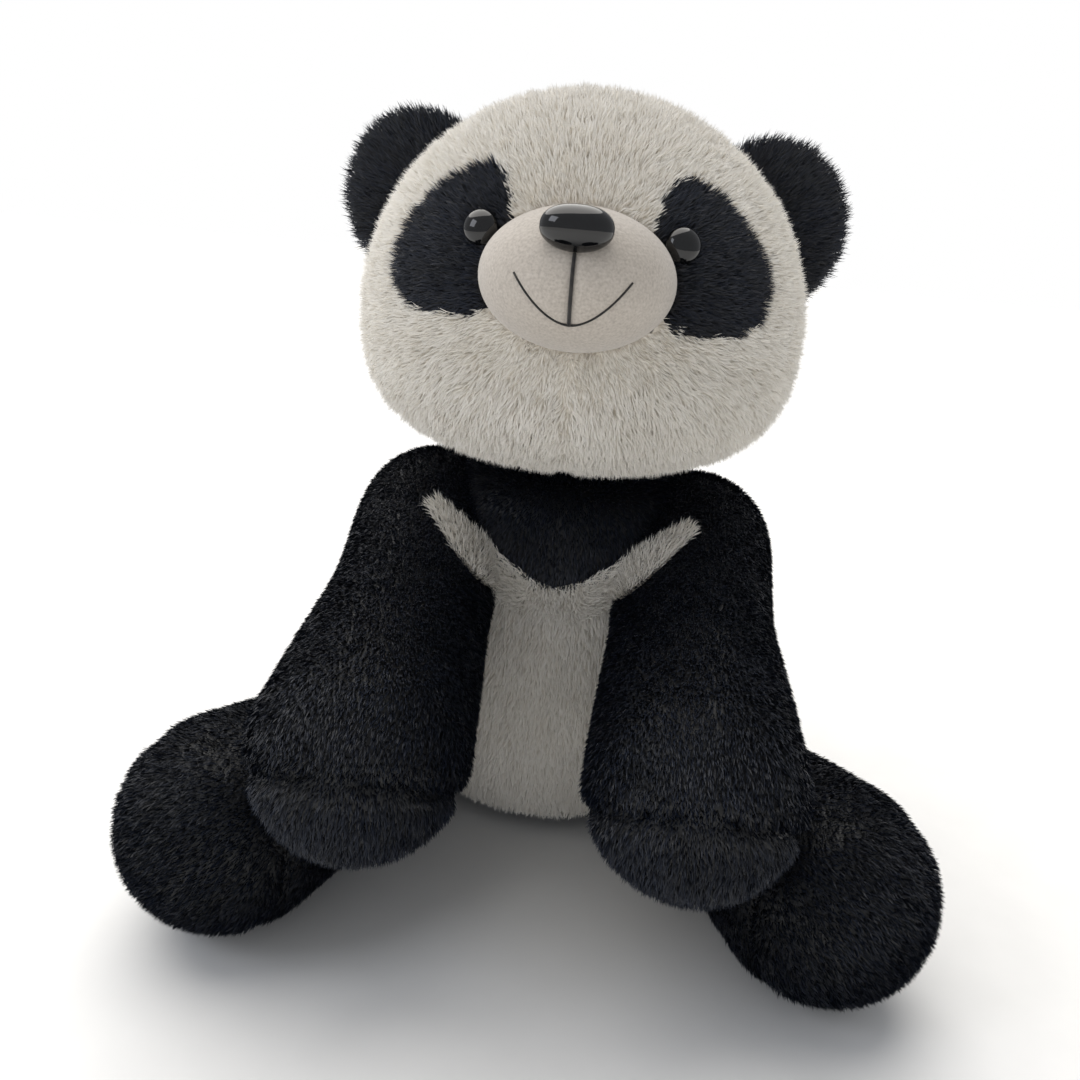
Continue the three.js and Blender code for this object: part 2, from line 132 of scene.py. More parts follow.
def velourMaterial():
    # Knitted polyester velour, short cut pile: soft sheen, and fine knit rows about 0.9 mm apart
    material, tree, shader = newMaterial("grey_velour_knit_and_painted_shade", Roughness=0.85, Sheen_Weight=0.35)
    shader.inputs["Sheen Roughness"].default_value = 0.4
    place = add(tree, "ShaderNodeTexCoord")
    mottle = add(tree, "ShaderNodeTexNoise", {"Scale": 900.0, "Detail": 4.0},
                 {"Vector": place.outputs["Object"]})
    # darker than the cream pile: partly the velour's own greyer tone, partly painted shade of the
    # dim light on the lower face
    colour = ramp(tree, mottle.outputs["Fac"],
                  [(0.25, "#a9a198"), (0.5, "#bdb5ab"), (0.8, "#cdc5bc")])
    rows = add(tree, "ShaderNodeTexWave",
               {"bands_direction": "Z", "Scale": 175.0, "Distortion": 2.5,
                "Detail": 2.0, "Detail Scale": 1.5},
               {"Vector": place.outputs["Object"]})
    joined = add(tree, "ShaderNodeMix", {"data_type": "FLOAT", 0: 0.35},
                 {2: mottle.outputs["Fac"], 3: rows.outputs["Fac"]})
    bump = add(tree, "ShaderNodeBump", {"Strength": 0.35, "Distance": 0.0004},
               {"Height": joined.outputs[0]})
    tree.links.new(colour, shader.inputs["Base Color"])
    tree.links.new(bump.outputs["Normal"], shader.inputs["Normal"])
    return material


def glossMaterial():
    # Injection-moulded acrylic: black, nearly mirror smooth, with faint handling marks
    material, tree, shader = newMaterial("black_moulded_acrylic", Roughness=0.06,
                                         Coat_Weight=0.2, Coat_Roughness=0.04)
    place = add(tree, "ShaderNodeTexCoord")
    marks = add(tree, "ShaderNodeTexNoise", {"Scale": 420.0, "Detail": 6.0},
                {"Vector": place.outputs["Object"]})
    colour = ramp(tree, marks.outputs["Fac"], [(0.3, "#060607"), (0.7, "#0b0c0e")])
    tree.links.new(colour, shader.inputs["Base Color"])
    return material


def threadMaterial():
    # Twisted black polyester thread, a turn about every 1.5 mm, drawn a little coarse
    material, tree, shader = newMaterial("black_polyester_thread", Roughness=0.6,
                                         Sheen_Weight=0.2)
    place = add(tree, "ShaderNodeTexCoord")
    twist = add(tree, "ShaderNodeTexWave",
                {"bands_direction": "DIAGONAL", "Scale": 110.0, "Distortion": 1.0},
                {"Vector": place.outputs["Object"]})
    colour = ramp(tree, twist.outputs["Fac"], [(0.2, "#0b0a09"), (0.8, "#25221f")])
    tree.links.new(colour, shader.inputs["Base Color"])
    return material


def fillingMaterial(name, dark, light, scale, roughness):
    # Polyester fibre, or the pressed plastic of the washers, by its colours and scale
    material, tree, shader = newMaterial(name, Roughness=roughness)
    place = add(tree, "ShaderNodeTexCoord")
    tufts = add(tree, "ShaderNodeTexNoise", {"Scale": scale, "Detail": 5.0},
                {"Vector": place.outputs["Object"]})
    colour = ramp(tree, tufts.outputs["Fac"], [(0.35, dark), (0.65, light)])
    bump = add(tree, "ShaderNodeBump", {"Strength": 0.3, "Distance": 0.001},
               {"Height": tufts.outputs["Fac"]})
    tree.links.new(colour, shader.inputs["Base Color"])
    tree.links.new(bump.outputs["Normal"], shader.inputs["Normal"])
    return material


velour = velourMaterial()
gloss = glossMaterial()
thread = threadMaterial()
fibre = fillingMaterial("hollow_polyester_fibre", "#dcdad2", "#f4f3ef", 300.0, 0.95)
washerPlastic = fillingMaterial("natural_nylon_washer", "#dadad4", "#e6e6e2", 60.0, 0.45)
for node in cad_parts:
    if "stuffing" in node or "padding" in node:
        bpy.data.objects[node].data.materials[0] = fibre
    elif "washer" in node:
        bpy.data.objects[node].data.materials[0] = washerPlastic
report("materials")


# Shapes shared by the skins

def turned(profile, steps):
    # A profile of (radius, height) turned about Z, closed at its poles
    bm = bmesh.new()
    verts = [bm.verts.new((max(r, 0) * mm, 0, z * mm)) for r, z in profile]
    edges = [bm.edges.new(pair) for pair in zip(verts, verts[1:])]
    bmesh.ops.spin(bm, geom=verts + edges, angle=2 * math.pi, steps=steps,
                   axis=(0, 0, 1), cent=(0, 0, 0), use_merge=True, use_duplicate=False)
    bmesh.ops.remove_doubles(bm, verts=bm.verts, dist=1e-6)
    bmesh.ops.recalc_face_normals(bm, faces=bm.faces)
    return bm


def eased(points, steps):
    # A smooth line through points, with this many steps between each two
    line = [points[0], *points, points[-1]]
    out = []
    for a, b, c, d in zip(line, line[1:], line[2:], line[3:]):
        for i in range(steps):
            t = i / steps
            out.append(tuple(
                0.5 * (2 * q + (r - p) * t + (2 * p - 5 * q + 4 * r - s) * t * t
                       + (3 * q - p - 3 * r + s) * t ** 3)
                for p, q, r, s in zip(a, b, c, d)
            ))
    return [*out, tuple(points[-1])]


def ball(subdivisions):
    bm = bmesh.new()
    bmesh.ops.create_icosphere(bm, subdivisions=subdivisions, radius=1)
    return bm


def toObject(bm, name):
    mesh = bpy.data.meshes.new(name)
    bm.to_mesh(mesh)
    bm.free()
    mesh.shade_smooth()
    obj = bpy.data.objects.new(name, mesh)
    bpy.context.scene.collection.objects.link(obj)
    return obj


def part(bm, keep):
    # A copy of the skin with only the faces whose middle passes keep
    copy = bm.copy()
    lost = [face for face in copy.faces if not keep(face.calc_center_median() / mm)]
    bmesh.ops.delete(copy, geom=lost, context="FACES")
    return copy


def makeFilling(bm, name, body, nodes):
    # The fibre inside a skin, kept clear of the seams drawn into it
    obj = toObject(bm, name)
    obj.data.materials.append(fibre)
    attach(obj, body)
    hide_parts(*nodes)


def treeOf(bm):
    return BVHTree.FromBMesh(bm)


def inside(point, loop):
    # Whether (x, z) is inside an outline
    x, z = point
    hits = 0
    for (x0, z0), (x1, z1) in zip(loop, loop[1:] + loop[:1]):
        if (z0 > z) != (z1 > z) and x < x0 + (z - z0) * (x1 - x0) / (z1 - z0):
            hits += 1
    return hits % 2 == 1


# Fur

def makeBlade(name, width, bow):
    # One strand, of unit length along Z, that bows out and comes to a point
    bm = bmesh.new()
    half = width * mm / 2
    rows = [[(-half, 0, 0), (half, 0, 0)], [(-half * 0.9, bow, 0.5), (half * 0.9, bow, 0.5)],
            [(0, bow * 0.2, 1)]]
    uv = bm.loops.layers.uv.new("OFBake")
    rows = [[bm.verts.new(p) for p in row] for row in rows]
    quad = bm.faces.new([rows[0][0], rows[0][1], rows[1][1], rows[1][0]])
    tip = bm.faces.new([rows[1][0], rows[1][1], rows[2][0]])
    for face in (quad, tip):
        for loop in face.loops:
            # height runs root to tip; the pile materials paint shade at the root end
            loop[uv].uv = (loop.vert.co.x / half * 0.012, 0.02 + 0.96 * loop.vert.co.z)
    blade = toObject(bm, name)
    bpy.context.scene.collection.objects.unlink(blade)
    return blade


coats = {
    "crown": {"density": 1.35, "long": 7.0, "width": 0.5, "stand": 0.75, "spread": 0.35,
              "clump": 2.0, "clumpSize": 6.0, "bow": 0.12, "pile": creamPile},
    "belly": {"density": 1.2, "long": 6.0, "width": 0.55, "stand": 0.55, "spread": 0.25,
              "clump": 0.9, "clumpSize": 6.0, "bow": 0.12, "pile": creamPile},
    "stripe": {"density": 1.8, "long": 6.0, "width": 0.55, "stand": 0.9, "spread": 0.5,
               "clump": 1.2, "clumpSize": 4.0, "bow": 0.12, "pile": creamPile},
    "body": {"density": 1.0, "long": 5.0, "width": 0.55, "stand": 0.6, "spread": 0.22,
             "clump": 0.5, "clumpSize": 9.0, "bow": 0.12, "pile": blackPile},
    "patch": {"density": 1.5, "long": 5.5, "width": 0.5, "stand": 0.7, "spread": 0.35,
              "clump": 0.8, "clumpSize": 6.0, "bow": 0.12, "pile": blackPile},
    "ear": {"density": 1.4, "long": 7.5, "width": 0.5, "stand": 0.45, "spread": 0.35,
            "clump": 0.9, "clumpSize": 5.0, "bow": 0.1, "pile": blackPile},
}


def furTree(coat, seed):
    tree = bpy.data.node_groups.new("grow_fur", "GeometryNodeTree")
    tree.interface.new_socket("Geometry", in_out="INPUT", socket_type="NodeSocketGeometry")
    tree.interface.new_socket("Geometry", in_out="OUTPUT", socket_type="NodeSocketGeometry")
    skin = add(tree, "NodeGroupInput").outputs["Geometry"]
    roots = add(tree, "GeometryNodeDistributePointsOnFaces",
                {"Density": coat["density"] / mm ** 2, "Seed": seed}, {"Mesh": skin})
    comb = add(tree, "GeometryNodeInputNamedAttribute",
               {"data_type": "FLOAT_VECTOR", "Name": "comb"})
    long = add(tree, "GeometryNodeInputNamedAttribute", {"data_type": "FLOAT", "Name": "long"})
    place = add(tree, "GeometryNodeInputPosition")

    def scaled(vector, by):
        return add(tree, "ShaderNodeVectorMath", {"operation": "SCALE", "Scale": by},
                   {0: vector}).outputs[0]

    def summed(a, b):
        return add(tree, "ShaderNodeVectorMath", {"operation": "ADD"}, {0: a, 1: b}).outputs[0]

    stray = add(tree, "FunctionNodeRandomValue",
                {"data_type": "FLOAT_VECTOR", 0: (-1, -1, -1), 1: (1, 1, 1), "Seed": seed + 1})
    roll = add(tree, "FunctionNodeRandomValue",
               {"data_type": "FLOAT_VECTOR", 0: (-1, -1, -1), 1: (1, 1, 1), "Seed": seed + 2})
    locks = add(tree, "ShaderNodeTexNoise", {"Scale": 1 / (coat["clumpSize"] * mm), "Detail": 1.0},
                {"Vector": place.outputs[0]})
    centred = add(tree, "ShaderNodeVectorMath", {"operation": "SUBTRACT", 1: (0.5, 0.5, 0.5)},
                  {0: locks.outputs["Color"]}).outputs[0]
    lean = summed(summed(scaled(roots.outputs["Normal"], coat["stand"]), comb.outputs[0]),
                  summed(scaled(stray.outputs[0], coat["spread"]),
                         scaled(centred, coat["clump"])))
    along = add(tree, "FunctionNodeAlignRotationToVector", {"axis": "Z"}, {"Vector": lean})
    facing = summed(roots.outputs["Normal"], scaled(roll.outputs[0], 0.6))
    turn = add(tree, "FunctionNodeAlignRotationToVector", {"axis": "Y", "pivot_axis": "Z"},
               {"Rotation": along.outputs[0], "Vector": facing})
    vary = add(tree, "FunctionNodeRandomValue",
               {"data_type": "FLOAT", 2: 0.7, 3: 1.1, "Seed": seed + 3})
    length = add(tree, "ShaderNodeMath", {"operation": "MULTIPLY"},
                 {0: long.outputs[0], 1: vary.outputs[1]}).outputs[0]
    length = add(tree, "ShaderNodeMath", {"operation": "MULTIPLY", 1: coat["long"] * mm},
                 {0: length}).outputs[0]
    size = add(tree, "ShaderNodeCombineXYZ", {"X": 1.0}, {"Y": length, "Z": length})
    # Tone: broad mottling and a little chance
    broad = add(tree, "ShaderNodeTexNoise", {"Scale": 60.0, "Detail": 3.0},
                {"Vector": place.outputs[0]})
    chance = add(tree, "FunctionNodeRandomValue",
                 {"data_type": "FLOAT", 2: -0.3, 3: 0.3, "Seed": seed + 4})
    tone = add(tree, "ShaderNodeMath", {"operation": "ADD"},
               {0: broad.outputs["Fac"], 1: chance.outputs[1]}).outputs[0]
    tone = add(tree, "ShaderNodeClamp", {"Min": 0.03, "Max": 0.97}, {"Value": tone}).outputs[0]
    marked = add(tree, "GeometryNodeStoreNamedAttribute",
                 {"data_type": "FLOAT", "domain": "POINT", "Name": "tone"},
                 {"Geometry": roots.outputs["Points"], "Value": tone})
    blade = makeBlade("strand", coat["width"], coat["bow"])
    shape = add(tree, "GeometryNodeObjectInfo", {"Object": blade})
    strands = add(tree, "GeometryNodeInstanceOnPoints", {},
                  {"Points": marked.outputs[0], "Instance": shape.outputs["Geometry"],
                   "Rotation": turn.outputs[0], "Scale": size.outputs[0]})
    real = add(tree, "GeometryNodeRealizeInstances", {}, {"Geometry": strands.outputs[0]})
    own = add(tree, "GeometryNodeInputNamedAttribute",
              {"data_type": "FLOAT_VECTOR", "Name": "OFBake"})
    shade = add(tree, "GeometryNodeInputNamedAttribute", {"data_type": "FLOAT", "Name": "tone"})
    across = add(tree, "ShaderNodeCombineXYZ", {}, {"X": shade.outputs[0]})
    mapped = add(tree, "GeometryNodeStoreNamedAttribute",
                 {"data_type": "FLOAT2", "domain": "CORNER", "Name": "OFBake"},
                 {"Geometry": real.outputs[0],
                  "Value": summed(own.outputs[0], across.outputs[0])})
    joined = add(tree, "GeometryNodeJoinGeometry")
    tree.links.new(skin, joined.inputs[0])
    tree.links.new(mapped.outputs[0], joined.inputs[0])
    out = add(tree, "NodeGroupOutput")
    tree.links.new(joined.outputs[0], out.inputs[0])
    return tree


def growFur(bm, name, coat, combing, body, nodes, seed, longness=None):
    # combing gives the way the pile lies at a point (mm) with its normal; longness its share
    uv = bm.loops.layers.uv.new("OFBake")
    for face in bm.faces:
        for loop in face.loops:
            x, y, z = loop.vert.co / mm
            # the backing skin sits near the root end of the map, in the pile's painted root shade
            loop[uv].uv = (0.5 + (x + 0.3 * y) / 700, 0.02 + (z + 0.4 * y + 100) / 20000)
    obj = toObject(bm, name)
    mesh = obj.data
    combs, longs = [], []
    for vertex in mesh.vertices:
        point, normal = vertex.co / mm, vertex.normal
        way = Vector(combing(point, normal))
        combs.extend(way - normal * way.dot(normal))
        longs.append(longness(point, normal) if longness else 1)
    mesh.attributes.new("comb", "FLOAT_VECTOR", "POINT")
    mesh.attributes.new("long", "FLOAT", "POINT")
    mesh.attributes["comb"].data.foreach_set("vector", combs)
    mesh.attributes["long"].data.foreach_set("value", longs)
    modifier = obj.modifiers.new("fur", "NODES")
    modifier.node_group = furTree(coats[coat], seed)
    graph = bpy.context.evaluated_depsgraph_get()
    grown = bpy.data.meshes.new_from_object(obj.evaluated_get(graph), preserve_all_data_layers=True,
                                            depsgraph=graph)
    obj.modifiers.clear()
    obj.data = grown
    grown.name = name
    for spare in ("comb", "long", "tone"):
        if spare in grown.attributes:
            grown.attributes.remove(grown.attributes[spare])
    grown.materials.clear()
    grown.materials.append(coats[coat]["pile"])
    if body:
        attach(obj, body)
    if nodes:
        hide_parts(*nodes)
    report(f"{name}: {len(grown.polygons)} faces")
    return obj


# Head

head = {
    "centre": (0, -8, 283),
    "halfWidth": 111, "depth": 0.88, "crown": 108, "chin": 71, "fullness": 2.8,
    "inset": 2.6, "filling": 8,  # how far in the backing and the filling lie
    "gusset": 38, "gussetFrom": 309, "split": 6,
}
patchOutline = [
    (41, 353), (59, 345), (75, 330), (83, 314), (82, 299), (70, 290.5), (50, 290),
    (36, 296), (29, 311), (29, 328), (33, 345),
]
muzzle = {"centre": (0, -93, 309), "size": (42, 46, 30)}
headCentre = Vector(head["centre"])
muzzleCentre = Vector(muzzle["centre"])


def headPoint(direction, inset):
    # The head's surface in a direction from its middle: rounder above, fuller below
    x, y, z = direction
    power = 2 if z > 0 else head["fullness"]
    level = math.hypot(x, y)
    share = (level ** power + abs(z) ** power) ** (-1 / power)
    width = head["halfWidth"] - inset
    reach = (head["crown"] if z > 0 else head["chin"]) - inset
    deep = head["halfWidth"] * head["depth"] - inset
    return headCentre + Vector((x * width, y * deep, z * reach)) * share


def facePoint(x, z):
    up = z - headCentre.z
    reach = head["crown"] if up > 0 else head["chin"]
    power = 2 if up > 0 else head["fullness"]
    radius = head["halfWidth"] * (1 - abs(up / reach) ** power) ** (1 / power)
    return Vector((x, headCentre.y - head["depth"] * math.sqrt(radius ** 2 - x ** 2), z))


def faceNormal(x, z):
    across = facePoint(x + 1, z) - facePoint(x - 1, z)
    upward = facePoint(x, z + 1) - facePoint(x, z - 1)
    return across.cross(upward).normalized()


def inMuzzle(p, grow):
    d = p - muzzleCentre
    size = [s + grow for s in muzzle["size"]]
    return sum((a / s) ** 2 for a, s in zip(d, size)) < 1


loop = [(x, z) for x, z in eased(patchOutline + patchOutline[:1], 4)][:-1]


def inPatch(p):
    return p.y < headCentre.y - 20 and inside((abs(p.x), p.z), loop)


def headSkin(detail, inset):
    bm = ball(detail)
    for vert in bm.verts:
        vert.co = headPoint(vert.co, inset) * mm
    return bm


def combHead(p, normal):
    # The pile lies away from the muzzle, and down at the back
    away = (p - muzzleCentre).normalized()
    behind = min(max((p.y + 10) / 60, 0), 1)
    down = Vector((0, 0, -1))
    below = min(max((280 - p.z) / 40, 0), 1) * (1 - behind)
    way = away * (1 - behind) * (1 - 0.5 * below) + down * (behind + 0.6 * below)
    if abs(p.x) < 6 and p.z < 280 and p.y < 0:  # parted at the chin seam
        way += Vector((math.copysign(0.5, p.x), 0, 0))
    return way


def headLong(p, normal):
    near = (p - muzzleCentre).length
    seam = 0.75 if abs(p.x) < 2.5 and p.z < 282 and p.y < 0 else 1
    return seam * (0.7 if near < 52 else 1)


skin = headSkin(6, head["inset"])
makeFilling(headSkin(4, head["filling"]), "head_filling", "head", ["head_stuffing"])
headTree = treeOf(skin)
bare = part(skin, lambda p: not inMuzzle(p, -1))
skin.free()


def inGusset(p):
    return abs(p.x) < head["gusset"] and (p.z > head["gussetFrom"] or p.y > head["split"])


growFur(part(bare, lambda p: inGusset(p) and not inPatch(p)), "crown_fur", "crown",
        combHead, "head", ["forehead_gusset"], 11, headLong)
for index, (side, sign) in enumerate(sides):
    own = part(bare, lambda p: p.x * sign > 0)
    growFur(part(own, lambda p: p.y < head["split"] and not inGusset(p) and not inPatch(p)),
            f"{side}_cheek_fur", "crown", combHead, "head", [f"{side}_face_panel"],
            21 + 40 * index, headLong)
    growFur(part(own, lambda p: p.y >= head["split"] and not inGusset(p)),
            f"{side}_head_back_fur", "crown", combHead, "head", [f"{side}_head_back"],
            31 + 40 * index)
    growFur(part(own, inPatch), f"{side}_eye_patch_fur", "patch", combHead, "head",
            [f"{side}_eye_patch"], 41 + 40 * index)
    own.free()
bare.free()


# Muzzle, nose, mouth and eyes

def muzzlePoint(x, z, lift=0):
    across = (x - muzzleCentre.x) / (muzzle["size"][0] + lift)
    above = (z - muzzleCentre.z) / (muzzle["size"][2] + lift)
    deep = (muzzle["size"][1] + lift) * math.sqrt(max(1 - across ** 2 - above ** 2, 0))
    return Vector((x, muzzleCentre.y - deep, z))


mouth = {"top": 321, "low": 294, "end": (23, 312), "thread": 0.75, "smile": 0.45, "groove": 1.3}


def smilePoint(share):
    x, z = mouth["end"]
    return share * x, mouth["low"] + (z - mouth["low"]) * abs(share) ** 1.8


def makeMuzzle():
    bm = ball(6)
    for vert in bm.verts:
        p = muzzleCentre + Vector(a * b for a, b in zip(vert.co, muzzle["size"]))
        if p.y < muzzleCentre.y:
            # drawn in along the thread, and a little along the smile
            along = min(max((p.z - 290) / 6, 0), 1) * min(max((334 - p.z) / 8, 0), 1)
            dip = mouth["groove"] * along * math.exp(-(p.x / 2.2) ** 2)
            smileZ = smilePoint(p.x / mouth["end"][0])[1]
            if abs(p.x) < mouth["end"][0] + 2:
                dip += 0.7 * math.exp(-((p.z - smileZ) / 1.8) ** 2)
            p.y += dip
        vert.co = p * mm
    lost = [f for f in bm.faces
            if headTree.find_nearest(f.calc_center_median())[3] > 0.006
            and (f.calc_center_median() / mm - headCentre).length < 95
            and f.calc_center_median().y / mm > muzzleCentre.y + 4]
    bmesh.ops.delete(bm, geom=lost, context="FACES")
    obj = toObject(bm, "muzzle_velour")
    obj.data.materials.append(velour)
    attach(obj, "head")
    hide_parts("muzzle_cover")


def tube(name, points, radius, node, body="head", material=thread):
    curve = bpy.data.curves.new(name, "CURVE")
    curve.dimensions = "3D"
    curve.bevel_depth = radius * mm
    curve.bevel_resolution = 3
    curve.use_fill_caps = True
    for line in points:
        spline = curve.splines.new("POLY")
        spline.points.add(len(line) - 1)
        for point, place in zip(spline.points, line):
            point.co = (*(place * mm), 1)
    obj = bpy.data.objects.new(name, curve)
    bpy.context.scene.collection.objects.link(obj)
    mesh = bpy.data.meshes.new_from_object(obj.evaluated_get(bpy.context.evaluated_depsgraph_get()))
    bpy.data.objects.remove(obj)
    made = bpy.data.objects.new(name, mesh)
    bpy.context.scene.collection.objects.link(made)
    mesh.materials.clear()
    mesh.materials.append(material)
    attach(made, body)
    if node:
        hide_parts(node)
    return made


nose = {"centre": (0, -132.5, 330), "size": (14.3, 9.5, 8.8), "square": 2.35}


def makeNose():
    bm = ball(5)
    for vert in bm.verts:
        x, y, z = vert.co
        n = nose["square"]
        level = (abs(x) ** n + abs(z) ** n) ** (1 / n) or 1
        share = math.hypot(x, z) / level
        x, z = x * share, z * share
        z *= 1 if z > 0 else 0.86 + 0.14 * math.cos(x * 1.6)  # fuller in the middle below
        wide, deep, tall = nose["size"]
        vert.co = (Vector(nose["centre"]) + Vector((x * wide, y * deep, z * tall))) * mm
    obj = toObject(bm, "nose_dome")
    obj.data.materials.append(gloss)
    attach(obj, "head")
    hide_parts("nose")


eye = {"x": 42.5, "z": 326, "radius": 7.6, "height": 5.8}


def makeEye(side, sign):
    r, h = eye["radius"], eye["height"]
    dome = [(r * math.cos(a), 0.7 + (h - 0.7) * math.sin(a))
            for a in [math.pi / 2 * i / 12 for i in range(13)]]
    bm = turned([(0, -1), (r - 0.5, -1), (r + 0.15, -0.4), (r + 0.15, 0.4), *dome[:-1], (0, h)], 48)
    outward = faceNormal(sign * eye["x"], eye["z"])
    seat = facePoint(sign * eye["x"], eye["z"]) + outward * 0.8
    turn = outward.to_track_quat("Z", "Y").to_matrix().to_4x4()
    bmesh.ops.transform(bm, matrix=Matrix.Translation(seat * mm) @ turn, verts=bm.verts)
    obj = toObject(bm, f"{side}_eye_dome")
    obj.data.materials.append(gloss)
    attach(obj, "head")
    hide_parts(f"{side}_eye")


makeMuzzle()
makeNose()
for side, sign in sides:
    makeEye(side, sign)
tube("philtrum_thread",
     [[muzzlePoint(0, mouth["low"] + (mouth["top"] - mouth["low"]) * i / 12, -0.5)
       for i in range(13)]], mouth["thread"], "philtrum_stitch")
tube("smile_thread",
     [[muzzlePoint(*smilePoint(sign * i / 16), -0.35) for i in range(17)] for side, sign in sides],
     mouth["smile"], "smile_stitch")
report("face")


# Ears

ear = {"centre": (90, 14, 336), "radius": 39.5, "thick": 8.5, "flare": 12, "dish": 3.0,
       "filling": 0.72}


def makeEar(side, sign, seed):
    bm = ball(5)
    centre = Vector(ear["centre"])
    centre.x *= sign
    flare = Matrix.Rotation(math.radians(sign * ear["flare"]), 4, "Z")
    for vert in bm.verts:
        x, y, z = vert.co
        rim = math.hypot(x, z)
        y *= ear["thick"]
        if vert.co.y < 0:  # the front is dished
            y += ear["dish"] * (1 - rim ** 2) ** 2
        vert.co = (centre + flare @ Vector((x * ear["radius"], y, z * ear["radius"]))) * mm
    out = Vector((sign, 0, 0.62)).normalized()
    base = centre - out * 40

    def combEar(p, normal):
        return (p - base).normalized() * 1.1

    def longEar(p, normal):
        edge = ((p - centre).length / ear["radius"]) ** 4
        return 0.7 + 0.5 * edge

    ahead = flare @ Vector((0, -1, 0))
    growFur(part(bm, lambda p: (p - centre).dot(ahead) >= 0), f"{side}_ear_front_fur", "ear",
            combEar, f"{side}_ear", [f"{side}_ear_front"], seed, longEar)
    growFur(part(bm, lambda p: (p - centre).dot(ahead) < 0), f"{side}_ear_back_fur", "ear",
            combEar, f"{side}_ear", [f"{side}_ear_back"], seed + 10, longEar)
    for vert in bm.verts:
        vert.co = (centre + (vert.co / mm - centre) * ear["filling"]) * mm
    makeFilling(bm, f"{side}_ear_filling", f"{side}_ear", [f"{side}_ear_padding"])


for index, (side, sign) in enumerate(sides):
    makeEar(side, sign, 101 + 40 * index)


# Torso

torso = {
    "y": 6, "depth": 0.84, "inset": 2.6, "filling": 8,
    "profile": [
        (0, 0), (30, 0.5), (48, 1), (64, 5), (75, 15), (84, 38), (87, 74), (86, 110), (83, 142),
        (79, 168), (70, 190), (56, 203), (38, 209), (18, 211), (0, 211.5),
    ],
    "seat": 12, "chest": 75,
}
bellyOutline = [(50, 4), (60, 40), (64, 80), (58, 120), (54, 158), (62, 176), (68, 192)]
yoke = {"dip": 152, "tip": (68, 192)}


def torsoSkin(inset):
    line = [(max(r - inset, 0), z + inset * (1 - 2 * z / 211.5)) for r, z in torso["profile"]]
    bm = turned(eased(line, 6), 128)
    for vert in bm.verts:
        vert.co.y = vert.co.y * torso["depth"] + torso["y"] * mm
    return bm


def yokeEdge(x):
    share = abs(x) / yoke["tip"][0]
    return yoke["dip"] + (yoke["tip"][1] - yoke["dip"]) * share ** 1.35


def inBelly(p):
    if p.y > torso["y"] or p.z > yokeEdge(p.x):
        return False
    return inside((abs(p.x), p.z), [(0, 0), *bellyOutline, (0, 200)])


def combDown(p, normal):
    return Vector((0, 0, -1))


def combBelly(p, normal):
    return Vector((math.copysign(0.15 if abs(p.x) < 4 else 0, p.x), 0, -1))


torsoBm = torsoSkin(torso["inset"])
makeFilling(torsoSkin(torso["filling"]), "torso_filling", "torso", ["torso_stuffing"])
torsoTree = treeOf(torsoBm)


def isSeat(p):
    return p.z < torso["seat"]


def isChest(p):
    return p.y <= torso["y"] and p.z > yokeEdge(p.x) and abs(p.x) < torso["chest"]


growFur(part(torsoBm, isSeat), "seat_fur", "body", combDown, "torso",
        ["seat_panel"], 201, lambda p, n: 0.45)
growFur(part(torsoBm, lambda p: inBelly(p) and not isSeat(p)), "belly_fur", "belly", combBelly,
        "torso", ["belly_panel"], 211)
growFur(part(torsoBm, lambda p: not inBelly(p) and isChest(p)), "chest_fur", "body", combDown,
        "torso", ["chest_yoke"], 221)
for index, (side, sign) in enumerate(sides):
    growFur(part(torsoBm, lambda p: not (inBelly(p) or isSeat(p) or isChest(p)) and p.x * sign > 0),
            f"{side}_back_fur", "body", combDown, "torso", [f"{side}_back_panel"],
            231 + 10 * index)


# Limbs

limbs = {
    "arm": {"pivot": (72, 2, 160), "end": (70, -168, 118), "ball": 46, "waist": 42, "bulb": 47.5,
            "inset": 2.6, "filling": 9, "seamWay": (0, -0.55, -0.835), "seamAt": 14.5,
            "groove": 3.4, "names": ("arm", "arm_cover", "paw", "paw_sole")},
    "leg": {"pivot": (72, -14, 46), "end": (139, -138, 52), "ball": 43, "waist": 44, "bulb": 52,
            "inset": 2.6, "filling": 9, "seamWay": (67, -124, 0), "seamAt": 12,
            "groove": 2.6, "names": ("leg", "leg_cover", "foot", "foot_sole")},
}


def limbProfile(limb, length, inset):
    ballR, waist, bulb = (limb[k] - inset for k in ("ball", "waist", "bulb"))
    start = [(ballR * math.cos(a), ballR * math.sin(a))
             for a in [math.pi / 2 * (i / 10 - 1) for i in range(10)]]
    middle = eased([(ballR, 0), (ballR * 0.99, length * 0.1), (waist, length * 0.36),
                    (waist, length * 0.52), (waist + (bulb - waist) * 0.6, length * 0.78),
                    (bulb, length)], 6)
    finish = [(bulb * math.cos(a), length + bulb * math.sin(a))
              for a in [math.pi / 2 * i / 14 for i in range(1, 14)]]
    return [*start, *middle, *finish, (0, length + bulb)]


def limbSkin(limb, sign, inset, groove):
    flip = Vector((sign, 1, 1))
    pivot, end = Vector(limb["pivot"]) * flip, Vector(limb["end"]) * flip
    along = end - pivot
    bm = turned(limbProfile(limb, along.length, inset), 96)
    turn = along.to_track_quat("Z", "Y").to_matrix().to_4x4()
    bmesh.ops.transform(bm, matrix=Matrix.Translation(pivot * mm) @ turn, verts=bm.verts)
    bm.normal_update()
    seam = (Vector(limb["seamWay"]) * flip).normalized()
    centre = end + seam * limb["seamAt"]
    for vert in bm.verts:  # drawn in along the sole seam
        away = (vert.co / mm - centre).dot(seam)
        vert.co -= vert.normal * groove * mm * math.exp(-(away / 2.4) ** 2)
    return bm, pivot, end, seam, centre


